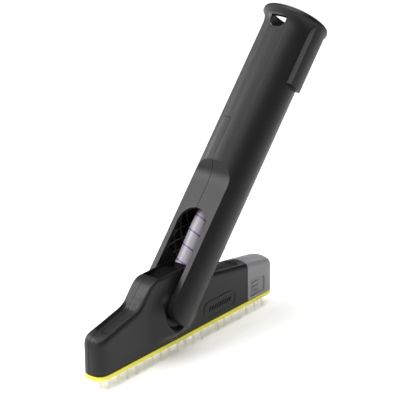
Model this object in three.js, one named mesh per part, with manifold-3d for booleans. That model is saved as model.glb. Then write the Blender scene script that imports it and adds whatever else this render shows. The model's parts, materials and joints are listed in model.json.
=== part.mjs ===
// Swivel-neck floor brush for carpet and joints: a long narrow head on bristles, a tubular neck forked over
// the head's hump, and a pull-off end cap. Millimetres, +Z up. The origin lies on the floor under the middle
// of the head, +X runs along the head towards the end cap, and the neck leans towards +X.
import * as THREE from "three";
import { mergeVertices } from "three/addons/utils/BufferGeometryUtils.js";
import Module from "manifold-3d";

const wasm = await Module();
wasm.setup();

// ---- driving dimensions -------------------------------------------------------------------------------
const GAP = 0.3; // between pieces that touch
const SPLIT_Y = 1.2; // parting plane of the head shells and of the neck halves
const WALL = 2.2;

const HEAD_HALF_LENGTH = 92;
const HEAD_HALF_WIDTH = 9;
const BRISTLE_LENGTH = 9;
const PLATE_TOP = 11.8;
const SHELL_BOTTOM = PLATE_TOP + GAP;
const PLATEAU_Z = 60.8;
const CAP_START_X = 61.2;

const PIVOT_X = -15;
const PIVOT_Z = 35.9;
const NECK_TILT = THREE.MathUtils.degToRad(40.77);
const HUB_RADIUS = 23.5;
const HUB_HALF_WIDTH = 6.6;
const TRUNNION_RADIUS = 4.7;
const POCKET_FLOOR = 9.6; // |y| of the pocket round an arm's end
const SWEPT_FLOOR = 11; // |y| of the casing that an arm swings over
const BOSS_HALF_WIDTH = 16;
const BOSS_RADIUS = 20.5;

const TUBE_RADIUS = 20;
const TUBE_LENGTH = 215.7; // pivot to the mouth of the socket
const ARM_HALF_WIDTH = 13.1;
const ARM_INNER_Y = 11.3;
const FORK_DEPTH = 33; // pivot to where the fork closes into a tube
const WINDOW_ARCH = 53.4; // pivot to the centre of the window's round top
const FLAT_X = 13.1; // neck axis to the front flat
const FLAT_TOP = 83;
const RECESS_TOP = 98.3;
const COVER_TOP = 129.5;
const DUCT_RADIUS = 16.5;
const SOCKET_RADIUS = 17.5;
const SOCKET_START = 150;
const FLANGE_RADIUS = 23.6;
const HOSE_RADIUS = 6.7;
const SPIGOT_TOP = 29;
const HOSE_END = 97.7;

// ---- solids -------------------------------------------------------------------------------------------
function solid(geometry) {
  const g = geometry.clone();
  g.deleteAttribute("normal");
  g.deleteAttribute("uv");
  const merged = mergeVertices(g, 1e-4);
  const triVerts = new Uint32Array(merged.index.array);
  const mesh = () =>
    new wasm.Mesh({ numProp: 3, vertProperties: new Float32Array(merged.attributes.position.array), triVerts });
  const made = new wasm.Manifold(mesh());
  if (made.volume() > 0) return made;
  for (let i = 0; i < triVerts.length; i += 3) {
    [triVerts[i + 1], triVerts[i + 2]] = [triVerts[i + 2], triVerts[i + 1]];
  }
  return new wasm.Manifold(mesh());
}

function geometryOf(made) {
  const m = made.getMesh();
  const g = new THREE.BufferGeometry();
  g.setAttribute("position", new THREE.BufferAttribute(new Float32Array(m.vertProperties), 3));
  g.setIndex(new THREE.BufferAttribute(new Uint32Array(m.triVerts), 1));
  g.computeVertexNormals();
  return g;
}

function box([x0, x1], [y0, y1], [z0, z1]) {
  const g = new THREE.BoxGeometry(x1 - x0, y1 - y0, z1 - z0);
  return solid(g.translate((x0 + x1) / 2, (y0 + y1) / 2, (z0 + z1) / 2));
}

// A shape drawn in the XZ plane, extruded from y0 to y1; a bevel rounds both rims without widening the shape.
function alongY(shape, y0, y1, bevelDepth = 0, bevelSize = 0, segments = 3) {
  const g = new THREE.ExtrudeGeometry(shape, {
    depth: y1 - y0 - 2 * bevelDepth,
    curveSegments: 6,
    bevelEnabled: bevelDepth > 0,
    bevelThickness: bevelDepth,
    bevelSize,
    bevelOffset: -bevelSize,
    bevelSegments: segments,
  });
  return solid(g.rotateX(Math.PI / 2).translate(0, y1 - bevelDepth, 0));
}

function alongZ(shape, z0, z1) {
  const g = new THREE.ExtrudeGeometry(shape, { depth: z1 - z0, curveSegments: 8, bevelEnabled: false });
  return solid(g.translate(0, 0, z0));
}

// A shape drawn in the YZ plane, extruded from x0 to x1.
function alongX(shape, x0, x1) {
  const g = new THREE.ExtrudeGeometry(shape, { depth: x1 - x0, curveSegments: 12, bevelEnabled: false });
  g.rotateX(Math.PI / 2).rotateZ(Math.PI / 2);
  return solid(g.translate(x0, 0, 0));
}

function rodY(radius, y0, y1, x = 0, z = 0, sides = 24) {
  const g = new THREE.CylinderGeometry(radius, radius, y1 - y0, sides);
  return solid(g.translate(x, (y0 + y1) / 2, z));
}

function rodZ(radius, z0, z1, sides = 48) {
  const g = new THREE.CylinderGeometry(radius, radius, z1 - z0, sides);
  return solid(g.rotateX(Math.PI / 2).translate(0, 0, (z0 + z1) / 2));
}

// A ring about the Z axis from a closed list of [radius, height] corners.
function ringZ(corners, sides = 48) {
  const points = [...corners, corners[0]].map(([r, z]) => new THREE.Vector2(r, z));
  return solid(new THREE.LatheGeometry(points, sides).rotateX(Math.PI / 2));
}

const mirrored = (make) => make(1).add(make(-1));
const spanY = (side, a, b) => (side > 0 ? [a, b] : [-b, -a]);

// A closed outline through [x, z, corner length] points; each corner is rounded over its length.
function outline(points) {
  const shape = new THREE.Shape();
  points.forEach(([x, z, round], i) => {
    const here = new THREE.Vector2(x, z);
    const towards = (j) => {
      const other = new THREE.Vector2(...points[(j + points.length) % points.length].slice(0, 2));
      return here.clone().add(other.sub(here).setLength(round));
    };
    const before = towards(i - 1);
    const after = towards(i + 1);
    if (i === 0) shape.moveTo(before.x, before.y);
    else shape.lineTo(before.x, before.y);
    if (round > 0) shape.quadraticCurveTo(x, z, after.x, after.y);
  });
  shape.closePath();
  return shape;
}

function circle(radius) {
  return new THREE.Shape().absarc(0, 0, radius, 0, 2 * Math.PI, false);
}

const root = new THREE.Group();
root.name = "floor_brush";
const head = new THREE.Group();
const endCap = new THREE.Group();
const neck = new THREE.Group();
neck.position.set(PIVOT_X, 0, PIVOT_Z);
neck.rotation.y = NECK_TILT;
root.add(head, endCap, neck);

const plastic = (color, roughness = 0.55) => new THREE.MeshStandardMaterial({ color, roughness, metalness: 0 });
const LOOKS = {
  charcoal: () => plastic(0x3a3a3b),
  grey: () => plastic(0x77777a),
  yellow: () => plastic(0xdbd642, 0.45),
  bristle: () => plastic(0xe1e4be, 0.4),
  hose: () => plastic(0xcdc8d2, 0.35),
  bearing: () => plastic(0xd8d5cc, 0.4),
  rubber: () => plastic(0x1b1b1c, 0.85),
  steel: () => new THREE.MeshStandardMaterial({ color: 0xa9abad, roughness: 0.3, metalness: 1 }),
};

function piece(group, name, made, look) {
  const mesh = new THREE.Mesh(geometryOf(made), LOOKS[look]());
  mesh.name = name;
  group.add(mesh);
}

// ---- head ---------------------------------------------------------------------------------------------
// Side view of the head: gentle slopes from both ends up to a hump over the pivot.
function headOutline(inset) {
  const s = inset;
  return outline([
    [-HEAD_HALF_LENGTH + s, 2, 0],
    [-90.5 + s, 38 - s, 6],
    [-52 - 0.3 * s, 46.8 - s, 5],
    [-37.5 + 0.6 * s, PLATEAU_Z - s, 4],
    [4 - 0.6 * s, PLATEAU_Z - s, 4],
    [18.5 + 0.3 * s, 47.6 - s, 5],
    [90.5 - s, 36.4 - s, 8],
    [HEAD_HALF_LENGTH - s, 2, 0],
  ]);
}

// Plan view of the head: straight sides, soft corners and slightly bulged ends.
function planOutline(inset) {
  const w = HEAD_HALF_WIDTH - inset;
  const l = HEAD_HALF_LENGTH - inset;
  const shape = new THREE.Shape();
  shape.moveTo(-l + 5, -w);
  shape.lineTo(l - 5, -w);
  shape.quadraticCurveTo(l - 1.1, -w, l - 0.8, -w + 4);
  shape.quadraticCurveTo(l + 0.8, 0, l - 0.8, w - 4);
  shape.quadraticCurveTo(l - 1.1, w, l - 5, w);
  shape.lineTo(-l + 5, w);
  shape.quadraticCurveTo(-l + 1.1, w, -l + 0.8, w - 4);
  shape.quadraticCurveTo(-l - 0.8, 0, -l + 0.8, -w + 4);
  shape.quadraticCurveTo(-l + 1.1, -w, -l + 5, -w);
  return shape;
}

// The fan about the pivot between an arm leaning back by backLean and one at the neck's full tilt.
function fanOutline(radius, reach, backLean) {
  const edgeEnd = (side, lean) => [
    PIVOT_X + side * (radius * Math.cos(lean) + reach * Math.sin(lean)),
    PIVOT_Z - radius * Math.sin(lean) + reach * Math.cos(lean),
  ];
  const shape = new THREE.Shape();
  shape.absarc(PIVOT_X, PIVOT_Z, radius, Math.PI + backLean, -NECK_TILT, false);
  shape.lineTo(...edgeEnd(1, NECK_TILT));
  shape.lineTo(...edgeEnd(-1, backLean));
  shape.closePath();
  return shape;
}

const HEAD_SCREWS = [
  [-72, 24],
  [-48, 27],
  [26, 27],
  [50, 25],
];

const POCKET_LEAN = THREE.MathUtils.degToRad(-24);
const SWEPT_LEAN = THREE.MathUtils.degToRad(19.5);
const pocket = (side) =>
  alongY(fanOutline(ARM_HALF_WIDTH + 1.1, 70, POCKET_LEAN), ...spanY(side, POCKET_FLOOR, 22)).add(
    alongY(fanOutline(ARM_HALF_WIDTH + 0.8, 70, SWEPT_LEAN), ...spanY(side, SWEPT_FLOOR, 22)),
  );

function headCasing() {
  const half = HEAD_HALF_WIDTH - 0.15;
  const body = alongY(headOutline(0), -half, half, 4, 3.5).intersect(alongZ(planOutline(0.15), 0, 80));
  const boss = alongY(circle(BOSS_RADIUS), -BOSS_HALF_WIDTH, BOSS_HALF_WIDTH, 6.5, 5)
    .translate([PIVOT_X, 0, PIVOT_Z])
    .intersect(alongY(headOutline(0), -20, 20));
  let made = body.add(boss).intersect(box([-100, 100], [-30, 30], [SHELL_BOTTOM, 80]));
  made = made.subtract(mirrored(pocket));
  const inside = HUB_HALF_WIDTH + GAP;
  made = made.subtract(alongY(headOutline(WALL), -inside, inside));
  made = made.subtract(box([-32, 2], [-inside, inside], [50, 70]));
  made = made.subtract(rodY(HUB_RADIUS + 0.6, -inside, inside, PIVOT_X, PIVOT_Z, 48));
  const hoseRelief = rodZ(HOSE_RADIUS + 0.8, 20, 45, 24)
    .rotate([0, THREE.MathUtils.radToDeg(NECK_TILT), 0])
    .translate([PIVOT_X, 0, PIVOT_Z]);
  made = made.subtract(hoseRelief);
  made = made.subtract(rodY(7.5, -12, 12, PIVOT_X, PIVOT_Z));
  for (const [x, z] of HEAD_SCREWS) made = made.add(rodY(3.6, -7, 7, x, z, 12));
  return made;
}

// The tongue that carries the end cap stands inside it, a wall's thickness smaller all round.
function capTongue() {
  const outer = alongY(headOutline(WALL + 0.5), -6.2, 6.2);
  const inner = alongY(headOutline(WALL + 2.3), -4.4, 4.4);
  return outer
    .intersect(box([CAP_START_X - 3, 82], [-10, 10], [SHELL_BOTTOM + 1, 80]))
    .subtract(inner.intersect(box([CAP_START_X - 9, 80.2], [-10, 10], [0, 80])));
}

function buildHeadShells() {
  let made = headCasing().intersect(box([-100, CAP_START_X - GAP / 2], [-30, 30], [0, 80]));
  made = made.add(capTongue().add(capCollar()));
  for (const [x, z] of HEAD_SCREWS) {
    made = made.subtract(rodY(1.6, -5, 12, x, z, 12));
    made = made.subtract(rodY(3.1, HEAD_HALF_WIDTH - 2.6, 12, x, z, 16));
  }
  const near = made.intersect(box([-100, 100], [-30, SPLIT_Y - GAP / 2], [0, 80]));
  const far = made.intersect(box([-100, 100], [SPLIT_Y + GAP / 2, 30], [0, 80]));
  piece(head, "head_shell_near", near, "charcoal");
  piece(head, "head_shell_far", far, "charcoal");
}

// The web that joins the tongue to the shells' walls, just inside the cap's edge.
function capCollar() {
  const web = alongY(headOutline(1.2), -HEAD_HALF_WIDTH + 1, HEAD_HALF_WIDTH - 1);
  return web
    .intersect(box([CAP_START_X - 3, CAP_START_X - 0.6], [-10, 10], [SHELL_BOTTOM + 1, 80]))
    .subtract(alongY(headOutline(WALL + 2.3), -4.4, 4.4));
}

function buildEndCap() {
  const half = HEAD_HALF_WIDTH - 0.15;
  const clear = box([CAP_START_X + GAP / 2, 100], [-30, 30], [SHELL_BOTTOM, 80]);
  let made = alongY(headOutline(0), -half, half, 4, 3.5).intersect(alongZ(planOutline(0.15), 0, 80)).intersect(clear);
  made = made.subtract(alongY(headOutline(WALL), -6.6, 6.6).intersect(box([0, 87], [-9, 9], [0, 80])));
  const panel = outline([
    [63.4, 14.2, 1.5],
    [63.4, 28.2, 1.5],
    [80.4, 25.4, 1.5],
    [80.4, 14.2, 1.5],
  ]);
  made = made.subtract(mirrored((side) => alongY(panel, ...spanY(side, half - 0.8, half + 2))));
  for (const z of [16.6, 20, 23.4]) {
    made = made.add(mirrored((side) => box([66.5, 74.5], spanY(side, half - 1.2, half - 0.1), [z - 0.5, z + 0.5])));
  }
  piece(endCap, "end_cap", made, "grey");
}

// ---- brush base ---------------------------------------------------------------------------------------
const SUCTION_SLOTS = [
  [-60, -8],
  [8, 60],
];
const ROW_Y = 5.6;
const STRIP_TOP = 10.6; // top of the strips that hold the tufts

function slotShape(x0, x1, half) {
  const shape = new THREE.Shape();
  shape.moveTo(x0 + half, -half);
  shape.lineTo(x1 - half, -half);
  shape.absarc(x1 - half, 0, half, -Math.PI / 2, Math.PI / 2, false);
  shape.lineTo(x0 + half, half);
  shape.absarc(x0 + half, 0, half, Math.PI / 2, (3 * Math.PI) / 2, false);
  return shape;
}

function buildBrushPlate() {
  let made = alongZ(planOutline(0), BRISTLE_LENGTH, PLATE_TOP);
  for (const [x0, x1] of SUCTION_SLOTS) {
    made = made.subtract(alongZ(slotShape(x0, x1, 3), 0, 20));
  }
  for (const strip of tuftStrips()) {
    const [x0, x1] = strip.span;
    const y = strip.y;
    made = made.subtract(
      box([x0 - GAP, x1 + GAP], [y - 1 - GAP, y + 1 + GAP], [BRISTLE_LENGTH - 1, STRIP_TOP + GAP]),
    );
  }
  piece(head, "brush_plate", made, "yellow");
}

// Each strip is a bar set in the plate's underside, with its tufts hanging from it down to the floor.
function tuftStrips() {
  return [
    { name: "bristle_row_near", y: -ROW_Y, span: [-82, 82], first: -80, count: 20, pitch: 8.421 },
    { name: "bristle_row_far", y: ROW_Y, span: [-82, 82], first: -80, count: 20, pitch: 8.421 },
    { name: "bristle_patch_centre", y: 0, span: [-5, 5], first: -4, count: 3, pitch: 4 },
    { name: "bristle_patch_left", y: 0, span: [-84, -64], first: -82, count: 3, pitch: 8 },
    { name: "bristle_patch_right", y: 0, span: [64, 84], first: 66, count: 3, pitch: 8 },
  ];
}

function buildBristles() {
  for (const { name, y, span, first, count, pitch } of tuftStrips()) {
    let made = box(span, [y - 1, y + 1], [BRISTLE_LENGTH + 0.1, STRIP_TOP]);
    for (let i = 0; i < count; i += 1) {
      const x = first + i * pitch;
      made = made.add(box([x - 1, x + 1], [y - 0.9, y + 0.9], [0, BRISTLE_LENGTH + 0.5]));
    }
    piece(head, name, made, "bristle");
  }
}

function buildPivotBearings() {
  for (const [name, side] of [
    ["near", -1],
    ["far", 1],
  ]) {
    const [b0, b1] = spanY(side, HUB_HALF_WIDTH + 0.6, POCKET_FLOOR);
    const bush = rodY(7.2, b0, b1).subtract(rodY(TRUNNION_RADIUS + GAP, -30, 30));
    piece(head, "pivot_bush_" + name, bush.translate([PIVOT_X, 0, PIVOT_Z]), "bearing");
    const [w0, w1] = spanY(side, POCKET_FLOOR + GAP, ARM_INNER_Y - GAP);
    const washer = rodY(10.5, w0, w1).subtract(rodY(TRUNNION_RADIUS + GAP, -30, 30));
    piece(neck, "friction_washer_" + name, washer, "bearing");
  }
}

function screw(x, z, headTop, length) {
  const top = rodY(2.8, headTop - 1.9, headTop, x, z, 16);
  const shank = rodY(1.3, headTop - length, headTop - 1.8, x, z, 12);
  const socket = rodY(1.2, headTop - 1.2, headTop + 1, x, z, 6);
  return top.add(shank).subtract(socket);
}

function buildHeadScrews() {
  HEAD_SCREWS.forEach(([x, z], i) => {
    piece(head, "head_screw_" + (i + 1), screw(x, z, HEAD_HALF_WIDTH - 0.4, 12.5), "steel");
  });
}

// ---- neck, in its own frame: +Z up the tube from the pivot, -X its front --------------------------------
function armOutline() {
  const shape = new THREE.Shape();
  shape.absarc(0, 0, ARM_HALF_WIDTH, Math.PI, 2 * Math.PI, false);
  shape.lineTo(ARM_HALF_WIDTH, FORK_DEPTH - 5);
  shape.quadraticCurveTo(ARM_HALF_WIDTH, FORK_DEPTH, ARM_HALF_WIDTH + 8, FORK_DEPTH);
  shape.lineTo(ARM_HALF_WIDTH + 8, FORK_DEPTH + 5);
  shape.lineTo(-ARM_HALF_WIDTH, FORK_DEPTH + 5);
  shape.closePath();
  return shape;
}

function frontRecess() {
  const shape = new THREE.Shape();
  shape.moveTo(-FLAT_X, -30);
  shape.lineTo(-FLAT_X, FLAT_TOP);
  shape.quadraticCurveTo(-FLAT_X, RECESS_TOP - 4, -TUBE_RADIUS - 0.2, RECESS_TOP);
  shape.lineTo(-40, RECESS_TOP);
  shape.lineTo(-40, -30);
  shape.closePath();
  return alongY(shape, -30, 30);
}

function windowOpening() {
  const shape = new THREE.Shape();
  shape.moveTo(-ARM_INNER_Y, 0);
  shape.lineTo(ARM_INNER_Y, 0);
  shape.lineTo(ARM_INNER_Y, WINDOW_ARCH);
  shape.absarc(0, WINDOW_ARCH, ARM_INNER_Y, 0, Math.PI, false);
  shape.closePath();
  return alongX(shape, -30, 0);
}

function latchHole() {
  const shape = new THREE.Shape();
  shape.moveTo(-6.25, 208.5);
  shape.lineTo(6.25, 208.5);
  shape.lineTo(6.25, 205);
  shape.quadraticCurveTo(5.5, 200, 0, 200);
  shape.quadraticCurveTo(-5.5, 200, -6.25, 205);
  shape.closePath();
  return alongX(shape, -30, 0);
}

// The raised key on the near side, a sector of a ring under the flange.
function sideKey() {
  const at = (degrees, radius) => {
    const a = THREE.MathUtils.degToRad(degrees);
    return new THREE.Vector2(-radius * Math.cos(a), -radius * Math.sin(a));
  };
  const points = [at(70, 19)];
  for (let a = 77; a <= 113; a += 6) points.push(at(a, 23.3));
  points.push(at(118, 19));
  return alongZ(new THREE.Shape(points), 167, 212);
}

function flange() {
  return ringZ([
    [SOCKET_RADIUS + 0.5, 204],
    [19.9, 204],
    [20.4, 208.2],
    [21.4, 210.4],
    [FLANGE_RADIUS - 0.5, 211.6],
    [FLANGE_RADIUS, 212.6],
    [FLANGE_RADIUS, 214.4],
    [FLANGE_RADIUS - 1, TUBE_LENGTH],
    [SOCKET_RADIUS + 0.5, TUBE_LENGTH],
  ]);
}

const NECK_SCREWS = [48, 84, 118];
const NECK_SCREW_X = 12;

function neckSolid() {
  const far = [-40, 40];
  const fork = rodZ(TUBE_RADIUS, -20, FORK_DEPTH + 1)
    .intersect(alongY(armOutline(), -30, 30))
    .subtract(box(far, [-ARM_INNER_Y, ARM_INNER_Y], [-30, FORK_DEPTH]));
  let made = fork.add(rodZ(TUBE_RADIUS, FORK_DEPTH, TUBE_LENGTH)).add(flange()).add(sideKey());
  const duct = rodZ(DUCT_RADIUS, FORK_DEPTH - 1, SOCKET_START + 1)
    .subtract(box([-40, -FLAT_X + 2.5], far, [0, RECESS_TOP + 1]))
    .subtract(mirrored((side) => box(far, spanY(side, ARM_INNER_Y, 40), [0, FORK_DEPTH])));
  made = made.subtract(frontRecess()).subtract(windowOpening()).subtract(duct);
  for (const z of NECK_SCREWS) made = made.add(rodY(3.6, -12, 12, NECK_SCREW_X, z, 12));
  made = made.subtract(rodZ(SOCKET_RADIUS, SOCKET_START, TUBE_LENGTH + 5)).subtract(latchHole());
  made = made.subtract(rodY(TRUNNION_RADIUS + GAP, -15.8, 15.8));
  for (const z of NECK_SCREWS) {
    made = made.subtract(rodY(1.6, -10, 20, NECK_SCREW_X, z, 12));
    made = made.subtract(rodY(3.1, 12.4, 25, NECK_SCREW_X, z, 16));
  }
  return made;
}

function buildNeckHalves() {
  const whole = neckSolid();
  const cut = (y, z) => box([-40, 40], [y, 40], [-40, z]);
  piece(neck, "neck_body", whole.subtract(cut(SPLIT_Y - GAP / 2, COVER_TOP + GAP / 2)), "charcoal");
  piece(neck, "neck_cover", whole.intersect(cut(SPLIT_Y + GAP / 2, COVER_TOP - GAP / 2)), "charcoal");
}

function buildNeckScrews() {
  NECK_SCREWS.forEach((z, i) => {
    piece(neck, "neck_screw_" + (i + 1), screw(NECK_SCREW_X, z, 14.6, 20), "steel");
  });
}

// The hollow hub turns in the hump with the neck, and carries the air from the head into the hose.
function buildSwivelHub() {
  let made = rodY(HUB_RADIUS, -HUB_HALF_WIDTH, HUB_HALF_WIDTH, 0, 0, 64);
  made = made.add(rodY(TRUNNION_RADIUS, -15.5, 15.5));
  made = made.add(rodZ(5.9, 10, SPIGOT_TOP, 24));
  made = made.subtract(rodZ(4.6, -30, SPIGOT_TOP + 5, 24));
  made = made.subtract(
    box([-9, 9], [-4.6, 4.6], [-30, -8]).rotate([0, -THREE.MathUtils.radToDeg(NECK_TILT) / 2, 0]),
  );
  piece(neck, "swivel_hub", made, "charcoal");
}

function buildHose() {
  const path = new THREE.CatmullRomCurve3([
    new THREE.Vector3(0, 0, HUB_RADIUS + 0.5),
    new THREE.Vector3(0, 0, SPIGOT_TOP + 2),
    new THREE.Vector3(-1.2, 0, 48),
    new THREE.Vector3(-1.2, 0, 62),
    new THREE.Vector3(0, 0, 84),
    new THREE.Vector3(0, 0, HOSE_END),
  ]);
  const section = circle(HOSE_RADIUS);
  section.holes.push(new THREE.Path().absarc(0, 0, 6.2, 0, 2 * Math.PI, true));
  const g = new THREE.ExtrudeGeometry(section, { steps: 16, curveSegments: 8, extrudePath: path });
  piece(neck, "hose", solid(g), "hose");
}

function buildHoseCollar() {
  const made = ringZ([
    [5.6, HOSE_END - 6],
    [6, HOSE_END - 6],
    [6, HOSE_END + GAP],
    [DUCT_RADIUS - GAP, HOSE_END + 5],
    [DUCT_RADIUS - GAP, HOSE_END + 9],
    [5.6, HOSE_END + 9],
  ], 36);
  piece(neck, "hose_collar", made, "charcoal");
}

function buildSocketSeal() {
  const made = ringZ([
    [SOCKET_RADIUS - GAP, SOCKET_START + GAP],
    [SOCKET_RADIUS - GAP, SOCKET_START + 5],
    [SOCKET_RADIUS - 1.6, SOCKET_START + 5],
    [SOCKET_RADIUS - 2.4, SOCKET_START + 2.5],
    [SOCKET_RADIUS - 1.6, SOCKET_START + GAP],
  ], 40);
  piece(neck, "socket_seal", made, "rubber");
}

buildHeadShells();
buildBrushPlate();
buildBristles();
buildPivotBearings();
buildHeadScrews();
buildEndCap();
buildNeckHalves();
buildNeckScrews();
buildSwivelHub();
buildHose();
buildHoseCollar();
buildSocketSeal();

export default root;
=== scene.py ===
"""Looks of the swivel-neck floor brush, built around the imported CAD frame. Metres, in the CAD's own frame."""

import json
import math
import random

import bmesh
import bpy
from mathutils import Matrix, Vector


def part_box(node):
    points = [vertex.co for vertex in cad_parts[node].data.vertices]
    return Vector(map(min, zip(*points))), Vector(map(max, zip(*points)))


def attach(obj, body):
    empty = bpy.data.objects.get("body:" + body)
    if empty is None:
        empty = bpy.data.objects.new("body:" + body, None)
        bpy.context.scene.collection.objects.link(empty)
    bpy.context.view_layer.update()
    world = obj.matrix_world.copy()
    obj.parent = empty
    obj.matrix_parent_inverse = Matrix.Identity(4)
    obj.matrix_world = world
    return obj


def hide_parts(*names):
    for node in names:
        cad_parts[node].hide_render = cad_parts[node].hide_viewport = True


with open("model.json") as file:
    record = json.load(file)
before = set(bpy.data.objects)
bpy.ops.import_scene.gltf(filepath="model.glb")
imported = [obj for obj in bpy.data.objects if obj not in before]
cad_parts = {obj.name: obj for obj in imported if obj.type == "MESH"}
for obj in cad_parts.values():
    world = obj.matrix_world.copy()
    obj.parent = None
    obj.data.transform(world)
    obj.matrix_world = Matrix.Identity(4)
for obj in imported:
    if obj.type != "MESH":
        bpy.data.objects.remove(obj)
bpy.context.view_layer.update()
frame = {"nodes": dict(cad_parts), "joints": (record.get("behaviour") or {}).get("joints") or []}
MM = 0.001

# ---- dimensions, in millimetres ---------------------------------------------------------------------------
# The brush base, the plateau, the cap's start and the pivot are read from the frame, and the rest repeat it.
# Only here: the finger dishes, the badge, the ribs in the duct, the arms' squared ends, the sleeve at the hose's
# root and the shape of the pockets' swelling.
SEAM = 0.3
SPLIT_Y = 1.2  # parting line of the head and of the neck
HALF_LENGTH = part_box("brush_plate")[1].x / MM
HALF_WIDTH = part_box("brush_plate")[1].y / MM
SKIN_HALF = HALF_WIDTH - 0.1  # the shells stand this much inside the brush base's edge
PLATE_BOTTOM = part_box("brush_plate")[0].z / MM
PLATE_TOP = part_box("brush_plate")[1].z / MM
SHELL_BOTTOM = PLATE_TOP + SEAM
PLATEAU_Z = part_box("head_shell_near")[1].z / MM
CAP_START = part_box("end_cap")[0].x / MM
TILT_JOINT = next(j for j in frame["joints"] if j["type"] == "hinge")
PIVOT = Vector(TILT_JOINT["pos_m"]) / MM
TILT = math.radians(40.77)  # the neck's lean at rest
SUCTION_SLOTS = [(-60, -8), (8, 60)]

TUBE_R = 20.0
TUBE_LENGTH = 215.7  # pivot to the socket's mouth
FLANGE_R = 23.6
SOCKET_R = 17.5
SOCKET_START = 150.0
DUCT_R = 16.5
FLAT = 13.1  # neck axis to the flat recess in front
FLAT_TOP = 83.0
RECESS_TOP = 98.3
WINDOW_ARCH = 53.4
COVER_TOP = 129.5
ARM_HALF = 13.1
ARM_BOTTOM = 11.3
ARM_INNER = 11.3
ARM_SQUARENESS = 2.8
FORK_DEPTH = 33.0
FAR = 40  # beyond every part of the neck's section

HUB_R = 23.5
HUB_HALF = 6.6
CAVITY_HALF = HUB_HALF + SEAM
SLEEVE_TOP = 26.3  # top of the short sleeve at the hose's root
TRUNNION_R = 4.7
HOSE_R = 6.7
HOSE_TOP = 97.7

POCKET_R = ARM_HALF + 1.1
POCKET_FLOOR = 9.6
POCKET_LEAN = math.radians(24)
SWEPT_FLOOR = 10.9
SWEPT_LEAN = math.radians(-19.5)

HEAD_SCREWS = [(-72, 24), (-48, 27), (26, 27), (50, 25)]
NECK_SCREWS = [48, 84, 118]
NECK_SCREW_X = 12.0
SCREW_BOSS_R = 3.6
SCREW_HOLE_R = 1.6
SCREW_SEAT_R = 3.1

NECK_TO_ROW = Matrix.Translation(PIVOT) @ Matrix.Rotation(TILT, 4, "Y")


# ---- camera and stage -------------------------------------------------------------------------------------
def make_camera():
    """A long-lens camera on the near left, a little above the tool, aimed at the middle of it."""
    azimuth, elevation, roll = math.radians(50.82), math.radians(21.26), math.radians(-0.30)
    distance, lens = 1199.12, 162
    target = Vector((19.74, 0, 98.28))
    back = Vector((-math.sin(azimuth) * math.cos(elevation), -math.cos(azimuth) * math.cos(elevation), 0))
    back.z = math.sin(elevation)
    level = Vector((math.cos(azimuth), -math.sin(azimuth), 0))
    upward = back.cross(level)
    right = level * math.cos(roll) + upward * math.sin(roll)
    up = upward * math.cos(roll) - level * math.sin(roll)
    data = bpy.data.cameras.new("camera")
    data.sensor_width = 36
    data.lens = lens
    data.clip_start, data.clip_end = 0.01, 20
    camera = bpy.data.objects.new("camera", data)
    bpy.context.scene.collection.objects.link(camera)
    place = Matrix((right, up, back)).transposed().to_4x4()
    place.translation = (target + back * distance) * MM
    camera.matrix_world = place
    bpy.context.scene.camera = camera


def area_light(name, place, aim, size, power):
    data = bpy.data.lights.new(name, "AREA")
    data.shape = "RECTANGLE"
    data.size, data.size_y = size
    data.energy = power
    light = bpy.data.objects.new(name, data)
    bpy.context.scene.collection.objects.link(light)
    light.location = place
    light.rotation_euler = (Vector(place) - Vector(aim)).to_track_quat("Z", "Y").to_euler()


def make_world():
    """Soft room light, brightest from high on the left and behind, dim from the right and the front."""
    world = bpy.data.worlds.new("studio")
    bpy.context.scene.world = world
    world.use_nodes = True
    tree = world.node_tree
    place = tree.nodes.new("ShaderNodeTexCoord")
    facing = tree.nodes.new("ShaderNodeVectorMath")
    facing.operation = "DOT_PRODUCT"
    facing.inputs[1].default_value = Vector((-0.6, 0.45, 0.65)).normalized()
    tree.links.new(place.outputs["Generated"], facing.inputs[0])
    ramp = tree.nodes.new("ShaderNodeMapRange")
    ramp.interpolation_type = "SMOOTHSTEP"
    ramp.inputs["From Min"].default_value = 0.15
    ramp.inputs["To Min"].default_value = 0.1
    ramp.inputs["To Max"].default_value = 1.1
    tree.links.new(facing.outputs["Value"], ramp.inputs["Value"])
    background = tree.nodes["Background"]
    background.inputs["Color"].default_value = (1, 1, 1, 1)
    tree.links.new(ramp.outputs["Result"], background.inputs["Strength"])


def make_stage():
    scene = bpy.context.scene
    scene.view_settings.view_transform = "Standard"
    make_world()
    area_light("key_softbox", (-0.66, 0.66, 0.76), (0.02, 0, 0.1), (0.5, 0.5), 10.5)
    area_light("top_softbox", (-0.1, -0.2, 1.2), (0.0, 0, 0.05), (1.0, 1.0), 13.5)
    area_light("back_strip", (-0.05, 1.1, 0.36), (0.05, 0, 0.14), (0.5, 0.35), 4.5)
    area_light("right_strip", (0.75, 0.15, 0.35), (0.08, 0, 0.14), (0.15, 0.7), 1.2)
    mesh = bpy.data.meshes.new("floor")
    reach = 3
    corners = [(-reach, -reach, 0), (reach, -reach, 0), (reach, reach, 0), (-reach, reach, 0)]
    mesh.from_pydata(corners, [], [(0, 1, 2, 3)])
    floor = bpy.data.objects.new("floor", mesh)
    scene.collection.objects.link(floor)
    paper = bpy.data.materials.new("floor_paper")
    paper.use_nodes = True
    shader = paper.node_tree.nodes["Principled BSDF"]
    shader.inputs["Base Color"].default_value = (0.97, 0.97, 0.97, 1)
    shader.inputs["Roughness"].default_value = 0.9
    mesh.materials.append(paper)


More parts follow.
